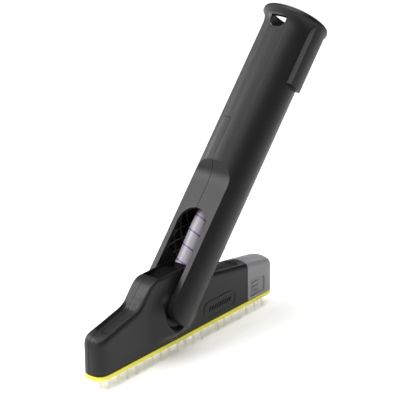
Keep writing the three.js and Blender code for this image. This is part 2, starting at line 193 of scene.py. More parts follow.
# ---- materials --------------------------------------------------------------------------------------------
def moulded(name, colour, roughness, grain=0.25, mottle=0.12, grain_scale=2600, sockets=None):
    """Moulded plastic: spark-eroded grain as bump, a little uneven colour, and uneven gloss."""
    material = bpy.data.materials.new(name)
    material.use_nodes = True
    tree = material.node_tree
    shader = tree.nodes["Principled BSDF"]
    for socket, value in (sockets or {}).items():
        shader.inputs[socket].default_value = value
    place = tree.nodes.new("ShaderNodeTexCoord")

    def noise(scale, detail):
        node = tree.nodes.new("ShaderNodeTexNoise")
        node.inputs["Scale"].default_value = scale
        node.inputs["Detail"].default_value = detail
        tree.links.new(place.outputs["Object"], node.inputs["Vector"])
        return node.outputs["Fac"]

    def ramp(source, low, high):
        node = tree.nodes.new("ShaderNodeMapRange")
        node.inputs["To Min"].default_value = low
        node.inputs["To Max"].default_value = high
        tree.links.new(source, node.inputs["Value"])
        return node.outputs["Result"]

    cloud_scale, cloud_detail, grain_detail, grain_depth = 55, 4, 3, 0.0002
    cloudy = noise(cloud_scale, cloud_detail)
    fine = noise(grain_scale, grain_detail)
    tint = tree.nodes.new("ShaderNodeMixRGB")
    tint.inputs["Color1"].default_value = (*[c * (1 - mottle) for c in colour], 1)
    tint.inputs["Color2"].default_value = (*[min(1, c * (1 + mottle)) for c in colour], 1)
    tree.links.new(cloudy, tint.inputs["Fac"])
    tree.links.new(tint.outputs["Color"], shader.inputs["Base Color"])
    gloss = tree.nodes.new("ShaderNodeMath")
    gloss.operation = "ADD"
    tree.links.new(ramp(cloudy, roughness - 0.06, roughness + 0.02), gloss.inputs[0])
    tree.links.new(ramp(fine, -0.03, 0.05), gloss.inputs[1])
    tree.links.new(gloss.outputs["Value"], shader.inputs["Roughness"])
    bump = tree.nodes.new("ShaderNodeBump")
    bump.inputs["Strength"].default_value = grain
    bump.inputs["Distance"].default_value = grain_depth
    tree.links.new(fine, bump.inputs["Height"])
    tree.links.new(bump.outputs["Normal"], shader.inputs["Normal"])
    return material


def make_materials():
    """Columns: name, colour, roughness, grain, mottle, grain scale, other shader values."""
    satin = {"Specular IOR Level": 0.24}
    dull = {"Specular IOR Level": 0.05}
    clear = {"Transmission Weight": 0.35, "IOR": 1.3}
    return {
        "charcoal": moulded("charcoal_plastic", (0.0095, 0.0095, 0.0098), 0.42, 0.3, 0.12, 2600, satin),
        # inner: a darker, less reflective copy of the charcoal plastic. Its darkness is painted shade for the
        # hub drum and the hose collar deep inside the head. The badge pattern uses it too.
        "inner": moulded("charcoal_painted_shade_plastic", (0.0025, 0.0025, 0.0027), 0.6, 0.2, 0.12, 2600, dull),
        "rib": moulded("duct_rib_plastic", (0.10, 0.095, 0.08), 0.6, 0.2),
        "grey": moulded("grey_cap_plastic", (0.215, 0.216, 0.222), 0.5, 0.25),
        "yellow": moulded("yellow_base_plastic", (0.84, 0.77, 0.02), 0.4, 0.12, 0.05),
        "underside": moulded("bristle_bed_nylon", (0.78, 0.75, 0.55), 0.6, 0.15, 0.08),
        "bristle": moulded("bristle_nylon", (0.93, 0.925, 0.88), 0.35, 0.05, 0.05, 2600, clear),
        "hose": moulded("hose_plastic", (0.215, 0.206, 0.226), 0.42, 0.08, 0.05, 900),
        "spiral": moulded("hose_spiral_plastic", (0.05, 0.025, 0.15), 0.4, 0.08, 0.1),
        "bearing": moulded("bearing_acetal", (0.70, 0.68, 0.62), 0.4, 0.1, 0.04),
        "rubber": moulded("seal_rubber", (0.012, 0.012, 0.012), 0.85, 0.5, 0.2, 1500),
        "steel": moulded("screw_steel", (0.62, 0.62, 0.63), 0.3, 0.15, 0.08, 3000, {"Metallic": 1.0}),
    }


# ---- mesh helpers -----------------------------------------------------------------------------------------
def new_piece(mesh, materials, body, replaced=()):
    """An object named like its mesh, riding on a body, standing for the CAD nodes in replaced."""
    piece = bpy.data.objects.new(mesh.name, mesh)
    bpy.context.scene.collection.objects.link(piece)
    for material in materials:
        mesh.materials.append(material)
    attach(piece, body)
    if replaced:
        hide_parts(*replaced)
    return piece


def mesh_of(bm, name, smooth_angle=35):
    """The finished mesh of bm, smooth but for edges sharper than smooth_angle degrees."""
    bmesh.ops.recalc_face_normals(bm, faces=bm.faces)
    mesh = bpy.data.meshes.new(name)
    bm.to_mesh(mesh)
    bm.free()
    mesh.shade_smooth()
    mesh.set_sharp_from_angle(angle=math.radians(smooth_angle))
    return mesh


def smoothstep(x, low=0.0, high=1.0):
    t = min(1.0, max(0.0, (x - low) / (high - low)))
    return t * t * (3 - 2 * t)


def mix(a, b, t):
    return a + (b - a) * t


def soft_min(a, b, reach):
    """The smaller of a and b, rounded where they are within reach of each other."""
    h = max(0.0, 1 - abs(a - b) / reach)
    return min(a, b) - h * h * reach / 4


def grid_faces(bm, rows, closed=False):
    """Quads between rows of vertices; closed joins each row's end to its start."""
    for a, b in zip(rows, rows[1:]):
        for i in range(len(a) if closed else len(a) - 1):
            j = (i + 1) % len(a)
            bm.faces.new([a[i], a[j], b[j], b[i]])


def prism(points, low, high, place):
    """A closed prism from a 2D outline: place(u, v, depth) puts its points in space."""
    bm = bmesh.new()
    rings = [[bm.verts.new(place(u, v, d)) for u, v in points] for d in (low, high)]
    bm.faces.new(rings[0][::-1])
    bm.faces.new(rings[1])
    grid_faces(bm, rings, closed=True)
    bmesh.ops.recalc_face_normals(bm, faces=bm.faces)
    return bm


def along_x(u, v, d):
    return (d, u, v)


def along_y(u, v, d):
    return (u, d, v)


def along_z(u, v, d):
    return (u, v, d)


def box(x, y, z):
    return prism([(x[0], y[0]), (x[1], y[0]), (x[1], y[1]), (x[0], y[1])], z[0], z[1], along_z)


def circle(radius, segments, centre=(0, 0)):
    turns = [2 * math.pi * i / segments for i in range(segments)]
    return [(centre[0] + radius * math.cos(a), centre[1] + radius * math.sin(a)) for a in turns]


def arc(centre, radius, start, end, steps):
    """Points on an arc, in degrees from start to end."""
    turns = [math.radians(mix(start, end, i / steps)) for i in range(steps + 1)]
    return [(centre[0] + radius * math.cos(a), centre[1] + radius * math.sin(a)) for a in turns]


def curve(start, control, end, steps):
    """Points on a quadratic curve."""
    made = []
    for i in range(steps + 1):
        t = i / steps
        made.append(
            tuple(s * (1 - t) ** 2 + c * 2 * t * (1 - t) + e * t * t for s, c, e in zip(start, control, end))
        )
    return made


def lathe(corners, segments):
    """A ring about the Z axis from a closed list of [radius, height] corners."""
    bm = bmesh.new()
    rows = []
    for i in range(segments):
        a = 2 * math.pi * i / segments
        rows.append([bm.verts.new((r * math.cos(a), r * math.sin(a), z)) for r, z in corners])
    grid_faces(bm, rows + [rows[0]], closed=True)
    bmesh.ops.recalc_face_normals(bm, faces=bm.faces)
    return bm


def scratch_object(bm):
    mesh = bpy.data.meshes.new("scratch")
    bmesh.ops.triangulate(bm, faces=[f for f in bm.faces if len(f.verts) > 4])
    bm.to_mesh(mesh)
    bm.free()
    made = bpy.data.objects.new("scratch", mesh)
    bpy.context.scene.collection.objects.link(made)
    return made


def drop(obj):
    mesh = obj.data
    bpy.data.objects.remove(obj)
    bpy.data.meshes.remove(mesh)


def join_part(bm, part):
    """Adds part's faces to bm; part is used up."""
    mesh = bpy.data.meshes.new("part")
    part.to_mesh(mesh)
    part.free()
    bm.from_mesh(mesh)
    bpy.data.meshes.remove(mesh)


def combined(base, *steps):
    """base after a list of (operation, bmesh) steps; every bmesh is used up."""
    body = scratch_object(base)
    tools = []
    for operation, bm in steps:
        tool = scratch_object(bm)
        tools.append(tool)
        modifier = body.modifiers.new("cut", "BOOLEAN")
        modifier.operation = operation
        modifier.solver = "MANIFOLD"
        modifier.object = tool
    made = bmesh.new()
    made.from_object(body, bpy.context.evaluated_depsgraph_get())
    for obj in [body, *tools]:
        drop(obj)
    return made


def placed_in_row(bm):
    """From the neck's coordinates in millimetres to the row frame in metres."""
    bmesh.ops.transform(bm, matrix=Matrix.Scale(MM, 4) @ NECK_TO_ROW, verts=bm.verts)
    return bm


def in_metres(bm):
    bmesh.ops.transform(bm, matrix=Matrix.Scale(MM, 4), verts=bm.verts)
    return bm


def soften(piece, width_mm, angle=40, segments=2):
    bevel = piece.modifiers.new("edge", "BEVEL")
    bevel.width = width_mm * MM
    bevel.segments = segments
    bevel.limit_method = "ANGLE"
    bevel.angle_limit = math.radians(angle)
    bevel.harden_normals = True
    bevel.use_clamp_overlap = True


# ---- head -------------------------------------------------------------------------------------------------
def rounded_line(points, steps=8):
    """A polyline through (x, z, corner length) points, its corners rounded over their length."""
    made = []
    for i, (x, z, cut) in enumerate(points):
        here = Vector((x, z))
        if not 0 < i < len(points) - 1 or cut == 0:
            made.append(here)
            continue
        before = here + (Vector(points[i - 1][:2]) - here).normalized() * cut
        after = here + (Vector(points[i + 1][:2]) - here).normalized() * cut
        made += [Vector(p) for p in curve(before, here, after, steps)]
    return made


# The head's top in side view: (x, z, corner length).
TOP_LINE = rounded_line(
    [
        (-HALF_LENGTH, 30, 0),
        (-90.6, 37.6, 5.5),
        (-52, 46.9, 6),
        (-37.8, PLATEAU_Z, 4.5),
        (4, PLATEAU_Z, 5),
        (18.5, 48.0, 6),
        (90.2, 36.6, 7),
        (HALF_LENGTH, 25, 0),
    ]
)


def top_height(x):
    for a, b in zip(TOP_LINE, TOP_LINE[1:]):
        if x <= b.x:
            t = 0 if b.x == a.x else (x - a.x) / (b.x - a.x)
            return mix(a.y, b.y, min(1, max(0, t)))
    return TOP_LINE[-1].y


# The head's ends are superellipses from END_START outwards.
END_START = HALF_LENGTH - 14
END_SQUARENESS = 4.2
END_ROUNDNESS = 2.3


def plan_half(x, half):
    """Half-width of the head's plan at x: straight sides and softly squared ends."""
    t = min(1.0, max(0.0, (abs(x) - END_START) / (HALF_LENGTH - END_START)))
    return half * (1 - t**END_SQUARENESS) ** (1 / END_ROUNDNESS)


def x_stations(half):
    """Places along the head, closer together where the ends turn; widths are the ends' half-widths."""
    step = 0.7
    widths = [8.84, 8.8, 8.7, 8.5, 8.2, 7.8, 7.3, 6.7, 6.0, 5.2, 4.4, 3.6, 2.8, 2.1, 1.5, 1.0, 0.5, 0.01]
    ends = []
    for w in widths:
        t = (1 - (w / half) ** END_ROUNDNESS) ** (1 / END_SQUARENESS)
        ends.append(END_START + t * (HALF_LENGTH - END_START))
    count = int((ends[0] - 0.3) / step)
    middle = [i * step for i in range(-count, count + 1)]
    return sorted(middle + ends + [-x for x in ends])


def fan_distance(x, z, radius, low_lean, high_lean):
    """Distance outside the fan that an arm covers between two leans; negative inside it."""
    px, pz = x - PIVOT.x, z - PIVOT.z
    lean = max(low_lean, min(high_lean, math.atan2(px, pz)))
    along = px * math.sin(lean) + pz * math.cos(lean)
    across = abs(px * math.cos(lean) - pz * math.sin(lean))
    return (math.hypot(px, pz) if along < 0 else across) - radius


def side_half(x, z, top):
    """Half-width of the head's side at x and height z, with the swelling round each arm's pocket."""
    draft_slope, draft_fade = 0.012, 12
    swell_left, swell_right, swell_start = 6.6, 3.6, 12.5
    reach_left, reach_right, squash = 31, 24, 0.85
    foot, top_fade, top_gap = 9.5, 37, 4
    swept_gap, swept_slope, blend = 0.9, 1.1, 1.2
    lip_depth, lip_width, lip_fade = 0.55, 1.6, 2
    draft = draft_slope * (z - SHELL_BOTTOM) * smoothstep(HALF_LENGTH - abs(x), 0, draft_fade)
    base = plan_half(x, SKIN_HALF) - draft
    px, pz = x - PIVOT.x, z - PIVOT.z
    reach = reach_left if px < 0 else reach_right
    swell = mix(swell_right, swell_left, smoothstep(-px, -4, 9))
    swell *= 1 - smoothstep(math.hypot(px, pz * squash), swell_start, reach)
    swell *= smoothstep(z, SHELL_BOTTOM, SHELL_BOTTOM + foot)
    swell *= 1 - smoothstep(z, top_fade, top - top_gap)
    beyond = fan_distance(x, z, ARM_HALF + swept_gap, SWEPT_LEAN, TILT)
    swollen = soft_min(base + swell, SWEPT_FLOOR + swept_slope * max(0, beyond), blend)
    lip = fan_distance(x, z, POCKET_R, POCKET_LEAN, TILT)
    rolled = lip_depth * (1 - smoothstep(lip, 0, lip_width))
    return swollen - rolled * smoothstep(swollen - base, 0, lip_fade)


def hump(x):
    """1 on the hump, 0 on the gentle slopes."""
    return smoothstep(x, -52, -40) * (1 - smoothstep(x, 8, 20))


# Finger dishes: depth, where each begins and reaches it, where each leaves it and ends.
DISHES = [(2.6, -82.5, -79, -53.5, -49), (1.1, 22, 26, 51, 55)]
DISH_FLAT_Y = 3.9
DISH_EDGE_Y = 6.0


def dish(x, y):
    """Depth of the shallow finger dishes in the top of the two slopes."""
    depth = 0
    for deepest, start, full, leaving, end in DISHES:
        depth += deepest * smoothstep(x, start, full) * (1 - smoothstep(x, leaving, end))
    return depth * (1 - smoothstep(abs(y), DISH_FLAT_Y, DISH_EDGE_Y))


# Places across the head's top, as shares of its half-width.
ACROSS = [0.985, 0.96, 0.93, 0.9, 0.87, 0.84, 0.81, 0.77, 0.72, 0.66, 0.6, 0.5, 0.4, 0.3, 0.2, 0.1, 0]


def head_section(x, half):
    """The head's section at x, from the near bottom edge over the top to the far one."""
    levels, arc_steps = 60, 10
    top = top_height(x)
    w = plan_half(x, half)
    crest = hump(x)
    corner_y = min(mix(2.9, 1.7, crest), w * 0.8)
    corner_z = min(mix(4.4, 2.7, crest), (top - SHELL_BOTTOM) * 0.6)
    crown = mix(0.9, 0.15, crest) * w / half
    shoulder = top - crown - corner_z
    one_side = []
    for i in range(levels + 1):
        z = mix(SHELL_BOTTOM, shoulder, i / levels)
        one_side.append((side_half(x, z, top), z))
    reach = one_side[-1][0]
    for i in range(1, arc_steps + 1):
        a = math.pi / 2 * i / arc_steps
        one_side.append((reach - corner_y + corner_y * math.cos(a), shoulder + corner_z * math.sin(a)))
    inner = one_side[-1][0]
    for u in ACROSS:
        one_side.append((inner * u, top - crown * u * u - dish(x, inner * u)))
    near = [(x, -y, z) for y, z in one_side]
    far = [(x, y, z) for y, z in one_side[:-1][::-1]]
    return near + far


def head_skin():
    """The whole head above the brush base, ends included, as one closed solid."""
    weld, sliver = 0.03, 1e-4
    bm = bmesh.new()
    rows = [[bm.verts.new(p) for p in head_section(x, SKIN_HALF)] for x in x_stations(SKIN_HALF)]
    grid_faces(bm, rows)
    bmesh.ops.remove_doubles(bm, verts=bm.verts, dist=weld)
    bmesh.ops.dissolve_degenerate(bm, dist=sliver, edges=bm.edges)
    bmesh.ops.holes_fill(bm, edges=[e for e in bm.edges if e.is_boundary])
    bmesh.ops.recalc_face_normals(bm, faces=bm.faces)
    return bm


def arm_pocket(side):
    """The pocket that an arm's end turns in, cut square into the head's side."""
    reach, outside = 70, 25

    def edge_end(across, lean):
        return (
            PIVOT.x + across * POCKET_R * math.cos(lean) + reach * math.sin(lean),
            PIVOT.z - across * POCKET_R * math.sin(lean) + reach * math.cos(lean),
        )

    start, end = 180 - math.degrees(POCKET_LEAN), 360 - math.degrees(TILT)
    points = arc((PIVOT.x, PIVOT.z), POCKET_R, start, end, 72)
    points += [edge_end(1, TILT), edge_end(-1, POCKET_LEAN)]
    low, high = (POCKET_FLOOR, outside) if side > 0 else (-outside, -POCKET_FLOOR)
    return prism(points, low, high, along_y)


def inner_outline(wall):
    """The head's side outline a wall's thickness smaller, for the hollow inside."""
    wall_at_cap, below, slope_share = 2.5, 3, 1.15
    points = [(p.x * (1 - wall / HALF_LENGTH), p.y - wall * slope_share) for p in TOP_LINE]
    points = [p for p in points if abs(p[0]) < CAP_START - wall_at_cap]
    low = SHELL_BOTTOM - below
    return [(points[-1][0], low)] + points[::-1] + [(points[0][0], low)]


def rod_y(radius, low, high, x, z, segments=48):
    return prism(circle(radius, segments, (x, z)), low, high, along_y)


def screw_boss(x, z, boss_y, hole_y, seat_y):
    """Steps that raise a screw's boss and bore its hole and its head's seat, along Y."""
    return [
        ("UNION", rod_y(SCREW_BOSS_R, *boss_y, x, z)),
        ("DIFFERENCE", rod_y(SCREW_HOLE_R, *hole_y, x, z)),
        ("DIFFERENCE", rod_y(SCREW_SEAT_R, *seat_y, x, z)),
    ]


def hollow_head():
    """The head with its pockets, its hollow inside, its bearings and its screw bosses."""
    wall, hub_gap, hose_gap = 2.2, 0.6, 0.8
    bearing_r, bearing_y = TRUNNION_R + 2.8, 12
    span = (-CAVITY_HALF, CAVITY_HALF)
    steps = [
        ("DIFFERENCE", arm_pocket(-1)),
        ("DIFFERENCE", arm_pocket(1)),
        ("DIFFERENCE", prism(inner_outline(wall), *span, along_y)),
        ("DIFFERENCE", rod_y(HUB_R + hub_gap, *span, PIVOT.x, PIVOT.z, 128)),
        ("DIFFERENCE", box((-32, 2), span, (48, 70))),
        ("DIFFERENCE", rod_y(bearing_r, -bearing_y, bearing_y, PIVOT.x, PIVOT.z)),
    ]
    for x, z in HEAD_SCREWS:
        steps += screw_boss(x, z, (-7, 7), (-5, 12), (HALF_WIDTH - 2.6, 14))
    relief = prism(circle(HOSE_R + hose_gap, 64), 20, 45, along_z)
    bmesh.ops.transform(relief, matrix=NECK_TO_ROW, verts=relief.verts)
    steps.append(("DIFFERENCE", relief))
    return combined(head_skin(), *steps)


GRIP_PANEL = [(63.4, 14.2), (80.4, 14.2), (80.4, 25.4), (63.4, 28.2)]
GRIP_PANEL_CORNER = 1.5
GRIP_PANEL_DEPTH = 1.0
GRIP_RIBS_Z = (16.6, 20, 23.4)
GRIP_RIBS_X = (66.5, 74.5)


def end_cap_solid():
    """The hollow cap, with a sunk grip panel on each side."""
    hollow_half, hollow_end = 6.6, HALF_LENGTH - 5
    open_x, open_z = CAP_START - 5, SHELL_BOTTOM - 3
    inner = [(open_x, open_z), (hollow_end, open_z), (hollow_end, 28), (84, 33.6), (open_x, 38.5)]
    steps = [
        ("INTERSECT", box((CAP_START, 100), (-30, 30), (0, 80))),
        ("DIFFERENCE", prism(inner, -hollow_half, hollow_half, along_y)),
    ]
    floor_y = HALF_WIDTH - GRIP_PANEL_DEPTH
    for low, high in ((-12, -floor_y), (floor_y, 12)):
        panel = prism(rounded_loop(GRIP_PANEL, GRIP_PANEL_CORNER), low, high, along_y)
        steps.append(("DIFFERENCE", panel))
    return combined(head_skin(), *steps)


def rounded_loop(points, cut, steps=6):
    """A closed outline with each corner rounded over the same length."""
    made = []
    for i, p in enumerate(points):
        here = Vector(p)
        before = here + (Vector(points[i - 1]) - here).normalized() * cut
        after = here + (Vector(points[(i + 1) % len(points)]) - here).normalized() * cut
        made += [tuple(q) for q in curve(before, here, after, steps)]
    return made


def build_head(looks):
    dark_end = CAP_START - SEAM
    halves = (
        ("shell_near", (-30, SPLIT_Y - SEAM / 2), "head_shell_near"),
        ("shell_far", (SPLIT_Y + SEAM / 2, 30), "head_shell_far"),
    )
    for name, y_span, node in halves:
        bm = combined(hollow_head(), ("INTERSECT", box((-100, dark_end), y_span, (0, 80))))
        mesh = mesh_of(in_metres(bm), name)
        soften(new_piece(mesh, [looks["charcoal"]], "head", [node]), 0.3, 50)
    mesh = mesh_of(in_metres(end_cap_solid()), "pull_off_cap")
    soften(new_piece(mesh, [looks["grey"]], "end_cap", ["end_cap"]), 0.3, 50)
    rib_half, rib_foot, rib_top = 0.55, HALF_WIDTH - 1.3, HALF_WIDTH - 0.2
    for name, y_span in (("near", (-rib_top, -rib_foot)), ("far", (rib_foot, rib_top))):
        bm = bmesh.new()
        for z in GRIP_RIBS_Z:
            join_part(bm, box(GRIP_RIBS_X, y_span, (z - rib_half, z + rib_half)))
        mesh = mesh_of(in_metres(bm), "cap_ribs_" + name)
        soften(new_piece(mesh, [looks["grey"]], "end_cap"), 0.2, 50, 3)


# ---- badge: a raised rim with a plain slanted pattern inside it -------------------------------------------
BADGE_X = (12.6, 47.2)
BADGE_Z = (15.2, 27.0)
BADGE_CORNER = 5.8
BADGE_RIM = 0.55


def badge_loop(inset):
    x0, x1 = BADGE_X[0] + inset, BADGE_X[1] - inset
    z0, z1 = BADGE_Z[0] + inset, BADGE_Z[1] - inset
    corner = BADGE_CORNER - (0.5 if inset else 0)
    return rounded_loop([(x0, z0), (x1, z0), (x1, z1), (x0, z1)], corner, 12)


def build_badge(looks):
    face_y = -SKIN_HALF + 0.012 * 9
    outer = prism(badge_loop(0), face_y - 0.28, face_y + 0.5, along_y)
    rim = combined(outer, ("DIFFERENCE", prism(badge_loop(BADGE_RIM), face_y - 2, face_y + 2, along_y)))
    mesh = mesh_of(in_metres(rim), "badge_rim")
    soften(new_piece(mesh, [looks["charcoal"]], "head"), 0.12, 50)
    bm = bmesh.new()
    count, margin_z, lean, thick = 9, 4.2, 1.6, 0.8
    first_x, last_x = BADGE_X[0] + 5.5, BADGE_X[1] - 7.5
    low, high = BADGE_Z[0] + margin_z, BADGE_Z[1] - margin_z
    for i in range(count):
        x = mix(first_x, last_x, i / (count - 1))
        slant = [(x, low), (x + thick, low), (x + thick + lean, high), (x + lean, high)]
        join_part(bm, prism(slant, face_y - 0.25, face_y + 0.4, along_y))
    mesh = mesh_of(in_metres(bm), "badge_pattern")
    soften(new_piece(mesh, [looks["inner"]], "head"), 0.1, 50)


# ---- brush base and bristles ------------------------------------------------------------------------------
def plan_outline(half):
    near = [(x, -plan_half(x, half)) for x in x_stations(half) if abs(x) > END_START - 1 or abs(x) < 0.1]
    return near + [(x, -y) for x, y in near[::-1]]


def slot_outline(x0, x1, half):
    right = arc((x1 - half, 0), half, -90, 90, 16)
    left = arc((x0 + half, 0), half, 90, 270, 16)
    return right + left


def build_brush_base(looks):
    """The yellow base with its two suction slots; its underside is a pale bristle bed."""
    slot_half, facing_down = 3, -0.9
    plate = prism(plan_outline(HALF_WIDTH), PLATE_BOTTOM, PLATE_TOP, along_z)
    slots = [prism(slot_outline(x0, x1, slot_half), 0, 20, along_z) for x0, x1 in SUCTION_SLOTS]
    mesh = mesh_of(in_metres(combined(plate, *[("DIFFERENCE", slot) for slot in slots])), "base_plate")
    for face in mesh.polygons:
        if face.normal.z < facing_down:
            face.material_index = 1
    materials = [looks["yellow"], looks["underside"]]
    soften(new_piece(mesh, materials, "head", ["brush_plate"]), 0.45, 50, 3)


def filament(bm, root, tip, bow, radius):
    """One nylon filament: a thin tapering tube from root to tip, bowed sideways by bow."""
    steps, sides, taper = 4, 5, 0.25
    rings = []
    for i in range(steps + 1):
        t = i / steps
        centre = root.lerp(tip, t) + bow * math.sin(math.pi * t)
        ring = circle(radius * (1 - taper * t), sides, centre)
        rings.append([bm.verts.new((x, y, centre.z)) for x, y in ring])
    bm.faces.new(rings[0])
    bm.faces.new(rings[-1][::-1])
    grid_faces(bm, rings, closed=True)


def tuft(bm, dice, x, y, lean):
    """A bundle of filaments that opens a little towards the floor and leans outwards."""
    radius, count, bundle, spread, sunk, bow = 0.11, 8, 0.75, 1.75, 0.6, 0.2
    for _ in range(count):
        a, r = dice.uniform(0, 2 * math.pi), bundle * math.sqrt(dice.random())
        out = Vector((r * math.cos(a), r * math.sin(a), 0))
        root = Vector((x, y, PLATE_BOTTOM + sunk)) + out
        tip = Vector((x, y, dice.uniform(0.05, 0.7))) + spread * out + lean
        filament(bm, root, tip, Vector((dice.uniform(-bow, bow), dice.uniform(-bow, bow), 0)), radius)


def build_bristles(looks):
    """Two outer rows and three short middle patches of tufts, leaning out at the edges."""
    dice = random.Random(7)
    row_y, first, pitch, count = 5.6, -80, 8.421, 20
    end_lean, side_lean, lean_start, lean_full = 1.8, 0.9, 70, 82
    along = [first + i * pitch for i in range(count)]
    groups = {
        "row_near": [(x, -row_y) for x in along],
        "row_far": [(x, row_y) for x in along],
        "patch_centre": [(x, 0) for x in (-4, 0, 4)],
        "patch_left": [(x, 0) for x in (-82, -74, -66)],
        "patch_right": [(x, 0) for x in (66, 74, 82)],
    }
    for group, places in groups.items():
        bm = bmesh.new()
        for x, y in places:
            end = smoothstep(abs(x), lean_start, lean_full) * math.copysign(end_lean, x)
            side = 0 if y == 0 else math.copysign(side_lean, y)
            tuft(bm, dice, x, y, Vector((end, side, 0)))
        mesh = mesh_of(in_metres(bm), "filaments_" + group)
        new_piece(mesh, [looks["bristle"]], "head", ["bristle_" + group])


# ---- neck, in its own frame: +Z up the tube from the pivot, -X its front ----------------------------------
def neck_side_outline():
    """Side view of the neck: arm ends, the notch behind the fork, and the flat recess in front."""
    wide, high, power = 26, 235, 2 / ARM_SQUARENESS
    notch_start, notch_reach, recess_ease = FORK_DEPTH - 5, ARM_HALF + 8, 4
    points = []
    for x, z in arc((0, 0), 1, 180, 360, 64):
        points.append((ARM_HALF * math.copysign(abs(x) ** power, x), -ARM_BOTTOM * abs(z) ** power))
    points += curve((ARM_HALF, notch_start), (ARM_HALF, FORK_DEPTH), (notch_reach, FORK_DEPTH), 12)
    points += [(wide, FORK_DEPTH), (wide, high), (-wide, high), (-wide, RECESS_TOP)]
    points += curve((-TUBE_R - 0.2, RECESS_TOP), (-FLAT, RECESS_TOP - recess_ease), (-FLAT, FLAT_TOP), 24)
    return points


def window_cutter():
    points = [(-ARM_INNER, -30), (ARM_INNER, -30)] + arc((0, WINDOW_ARCH), ARM_INNER, 0, 180, 48)
    return prism(points, -30, 0, along_x)


def latch_cutter():
    """The latch hole under the flange: straight sides and a pointed arch below."""
    half, low, side_z, high, ease = 6.25, 200, 205, 208.5, 5.5
    points = [(-half, high), (-half, side_z)] + curve((-half, side_z), (-ease, low), (0, low), 10)[1:]
    points += curve((0, low), (ease, low), (half, side_z), 10)[1:] + [(half, high)]
    return prism(points, -30, 0, along_x)


def side_key():
    """The raised key on the near side, under the flange; degrees run from the neck's front."""
    top_r, root_r, bottom, top = 23.3, 19, 167, 212
    corners = [(70, root_r), (76, top_r), (83, top_r), (90, top_r)]
    corners += [(97, top_r), (107, top_r), (113, top_r), (118, root_r)]
    points = []
    for degrees, radius in corners:
        a = math.radians(degrees)
        points.append((-radius * math.cos(a), -radius * math.sin(a)))
    return prism(points, bottom, top, along_z)


def flange_ring():
    """The bell-shaped flange, as radius and height from its lower edge to its lip."""
    bore, bottom = SOCKET_R + 0.5, 203
    bell = [(19.9, bottom), (20.3, 206.6), (20.9, 209), (21.8, 210.9), (FLANGE_R - 0.5, 212.0)]
    lip = [(FLANGE_R, 212.7), (FLANGE_R, 214.6), (FLANGE_R - 0.35, 215.4), (FLANGE_R - 1, TUBE_LENGTH)]
    return lathe([(bore, bottom)] + bell + lip + [(bore, TUBE_LENGTH)], 192)


def neck_solid():
    """The whole neck in one piece, before it is split into its two halves."""
    bearing_r, bearing_y = TRUNNION_R + 0.3, 15.8
    tube = prism(circle(TUBE_R, 192), -20, TUBE_LENGTH - 0.5, along_z)
    duct = combined(
        prism(circle(DUCT_R, 144), FORK_DEPTH - 1, SOCKET_START + 1, along_z),
        ("DIFFERENCE", box((-FAR, -FLAT + 2.5), (-FAR, FAR), (0, RECESS_TOP + 1))),
        ("DIFFERENCE", box((-FAR, FAR), (ARM_INNER, FAR), (0, FORK_DEPTH))),
        ("DIFFERENCE", box((-FAR, FAR), (-FAR, -ARM_INNER), (0, FORK_DEPTH))),
    )
    steps = [
        ("INTERSECT", prism(neck_side_outline(), -30, 30, along_y)),
        ("UNION", side_key()),
        ("UNION", flange_ring()),
        ("DIFFERENCE", box((-FAR, FAR), (-ARM_INNER, ARM_INNER), (-30, FORK_DEPTH))),
        ("DIFFERENCE", window_cutter()),
        ("DIFFERENCE", duct),
    ]
    for z in NECK_SCREWS:
        steps += screw_boss(NECK_SCREW_X, z, (-12, 12), (-10, 20), (12.4, 25))
    steps.append(("DIFFERENCE", prism(circle(SOCKET_R, 144), SOCKET_START, TUBE_LENGTH + 5, along_z)))
    steps.append(("DIFFERENCE", latch_cutter()))
    steps.append(("DIFFERENCE", rod_y(bearing_r, -bearing_y, bearing_y, 0, 0, 64)))
    return combined(tube, *steps)


def build_neck(looks):
    seam = SEAM / 2
    far_half = box((-FAR, FAR), (SPLIT_Y - seam, FAR), (-FAR, COVER_TOP + seam))
    body = combined(neck_solid(), ("DIFFERENCE", far_half))
    far_half = box((-FAR, FAR), (SPLIT_Y + seam, FAR), (-FAR, COVER_TOP - seam))
    cover = combined(neck_solid(), ("INTERSECT", far_half))
    for name, bm, node in (("neck_tube", body, "neck_body"), ("neck_half", cover, "neck_cover")):
        mesh = mesh_of(placed_in_row(bm), name)
        soften(new_piece(mesh, [looks["charcoal"]], "neck", [node]), 0.45, 35)


def build_duct_ribs(looks):
    """Crossing ribs on the duct's far wall, seen through the window."""
    bm = bmesh.new()
    step, depth, half, first_z, levels = 10.434, 1.1, 0.2, 20, 60
    low, high = FORK_DEPTH + 0.5, 70
    least_turn, most_turn = -0.64, 0.75
    corners = [(DUCT_R + 0.3, -half), (DUCT_R + 0.3, half), (DUCT_R - depth, half), (DUCT_R - depth, -half)]
    for slope in (-1, 1):
        for k in range(-3, 16):
            rows = []
            for i in range(levels + 1):
                t = mix(low, high, i / levels)
                turn = slope * (t - k * step - first_z) / DUCT_R
                if least_turn < turn < most_turn:
                    angles = [(radius, turn + shift / DUCT_R) for radius, shift in corners]
                    rows.append([bm.verts.new((r * math.sin(a), r * math.cos(a), t)) for r, a in angles])
            if len(rows) > 1:
                grid_faces(bm, rows, closed=True)
                bm.faces.new(rows[0])
                bm.faces.new(rows[-1][::-1])
    mesh = mesh_of(placed_in_row(bm), "duct_ribs")
    new_piece(mesh, [looks["rib"]], "neck")


def hose_centre(t):
    """How far the hose's middle bows to the front at height t."""
    bow, middle, spread = -1.3, 55, 17
    return bow * math.exp(-(((t - middle) / spread) ** 2))


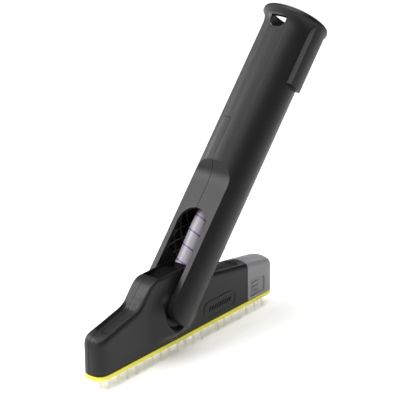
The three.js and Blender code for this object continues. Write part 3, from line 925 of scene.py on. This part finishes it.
def build_hose(looks):
    """Suction hose with a coloured spiral wound into its wall."""
    low, high, step, columns, lead = SLEEVE_TOP + 0.3, HOSE_TOP, 0.45, 96, 10.95
    stripe_columns, stripe_middle, ridge, thickness = 9, 4, 0.03, 0.5
    bm = bmesh.new()
    count = int((high - low) / step)
    walls = []
    for wall in (0, thickness):
        rows = []
        for i in range(count + 1):
            t = mix(low, high, i / count)
            row = []
            for k in range(columns):
                angle = 2 * math.pi * (k / columns - t / lead)
                rise = ridge * (math.cos(2 * math.pi * (k - stripe_middle) / columns) - 1)
                r = HOSE_R + rise - wall
                row.append(bm.verts.new((hose_centre(t) + r * math.cos(angle), r * math.sin(angle), t)))
            rows.append(row)
        walls.append(rows)
    loop = walls[0] + walls[1][::-1]
    for a, b in zip(loop, loop[1:] + loop[:1]):
        for k in range(columns):
            face = bm.faces.new([a[k], a[(k + 1) % columns], b[(k + 1) % columns], b[k]])
            face.material_index = 1 if k < stripe_columns else 0
    mesh = mesh_of(placed_in_row(bm), "corrugated_hose", 60)
    new_piece(mesh, [looks["hose"], looks["spiral"]], "neck", ["hose"])


def build_hub(looks):
    """The hollow hub: a drum on two trunnions, with the sleeve and the spigot that hold the hose."""
    inside_half, spigot_r, bore_r, trunnion_y = 4.6, 5.9, 4.6, 15.5
    inside = prism([(-9, -8), (9, -8), (9, -30), (-9, -30)], -inside_half, inside_half, along_y)
    bmesh.ops.transform(inside, matrix=Matrix.Rotation(-TILT / 2, 4, "Y"), verts=inside.verts)
    bm = combined(
        rod_y(HUB_R, -HUB_HALF, HUB_HALF, 0, 0, 160),
        ("UNION", rod_y(TRUNNION_R, -trunnion_y, trunnion_y, 0, 0, 64)),
        ("UNION", prism(circle(HOSE_R, 96), 10, SLEEVE_TOP, along_z)),
        ("UNION", prism(circle(spigot_r, 64), 10, 29, along_z)),
        ("DIFFERENCE", prism(circle(bore_r, 64), -30, 34, along_z)),
        ("DIFFERENCE", inside),
    )
    mesh = mesh_of(placed_in_row(bm), "hub_drum")
    # The drum's darker charcoal copy is painted shade inside the head's opening.
    soften(new_piece(mesh, [looks["inner"]], "neck", ["swivel_hub"]), 0.4, 40)


# ---- screws and the smaller turned pieces -----------------------------------------------------------------
def screw_solid(head_top, length):
    """A pan-head screw along Y with a hexagon socket, its head's top at head_top."""
    segments, centre_r, socket_r, socket_depth = 40, 0.001, 1.25, 1.3
    profile = [(centre_r, -length), (0.9, -length), (1.3, -length + 0.8), (1.3, -1.9), (2.8, -1.9)]
    profile += [(2.8, -0.9), (2.5, -0.35), (1.9, -0.05), (1.5, 0), (centre_r, 0)]
    bm = bmesh.new()
    rows = [[bm.verts.new((x, h, z)) for x, z in circle(r, segments)] for r, h in profile]
    grid_faces(bm, rows, closed=True)
    bm.faces.new(rows[0])
    bm.faces.new(rows[-1])
    bmesh.ops.recalc_face_normals(bm, faces=bm.faces)
    cut = combined(bm, ("DIFFERENCE", rod_y(socket_r, -socket_depth, 1, 0, 0, 6)))
    bmesh.ops.translate(cut, vec=(0, head_top, 0), verts=cut.verts)
    return cut


def build_screws(looks):
    head_places = [(x, HALF_WIDTH - 0.4, z) for x, z in HEAD_SCREWS]
    neck_places = [(NECK_SCREW_X, 14.6, z) for z in NECK_SCREWS]
    kinds = (
        ("shell_screw_", "head_screw_", "head", head_places, 12.5, in_metres),
        ("tube_screw_", "neck_screw_", "neck", neck_places, 20, placed_in_row),
    )
    for name, node, body, places, length, settled in kinds:
        for i, (x, top_y, z) in enumerate(places):
            bm = screw_solid(top_y, length)
            bmesh.ops.translate(bm, vec=(x, 0, z), verts=bm.verts)
            mesh = mesh_of(settled(bm), f"{name}{i + 1}")
            new_piece(mesh, [looks["steel"]], body, [f"{node}{i + 1}"])


def build_seal(looks):
    """The lip seal in the socket's bottom, as depth from the socket's wall and height."""
    low, outer = SOCKET_START + 0.3, SOCKET_R - 0.3
    ring = [(0, 0), (0, 4.7), (0.5, 4.9), (1.3, 4.6), (1.9, 3.2), (2.1, 2.2), (1.9, 1.2), (1.3, 0)]
    ring = [(outer - depth, low + height) for depth, height in ring]
    mesh = mesh_of(placed_in_row(lathe(ring, 144)), "socket_lip_seal")
    new_piece(mesh, [looks["rubber"]], "neck", ["socket_seal"])


def dress_cad_nodes(looks):
    """Finish for the small CAD nodes that stay as they are, inside the head and the neck."""
    kept = {
        # The hose collar's darker charcoal copy is painted shade deep in the hub.
        "hose_collar": "inner",
        "pivot_bush_near": "bearing",
        "pivot_bush_far": "bearing",
        "friction_washer_near": "bearing",
        "friction_washer_far": "bearing",
    }
    for name, look in kept.items():
        node = frame["nodes"][name]
        node.data.materials.clear()
        node.data.materials.append(looks[look])
        soften(node, 0.2, 40)


make_camera()
make_stage()
LOOKS = make_materials()
build_head(LOOKS)
build_badge(LOOKS)
build_brush_base(LOOKS)
build_bristles(LOOKS)
build_neck(LOOKS)
build_duct_ribs(LOOKS)
build_hose(LOOKS)
build_hub(LOOKS)
build_screws(LOOKS)
build_seal(LOOKS)
dress_cad_nodes(LOOKS)
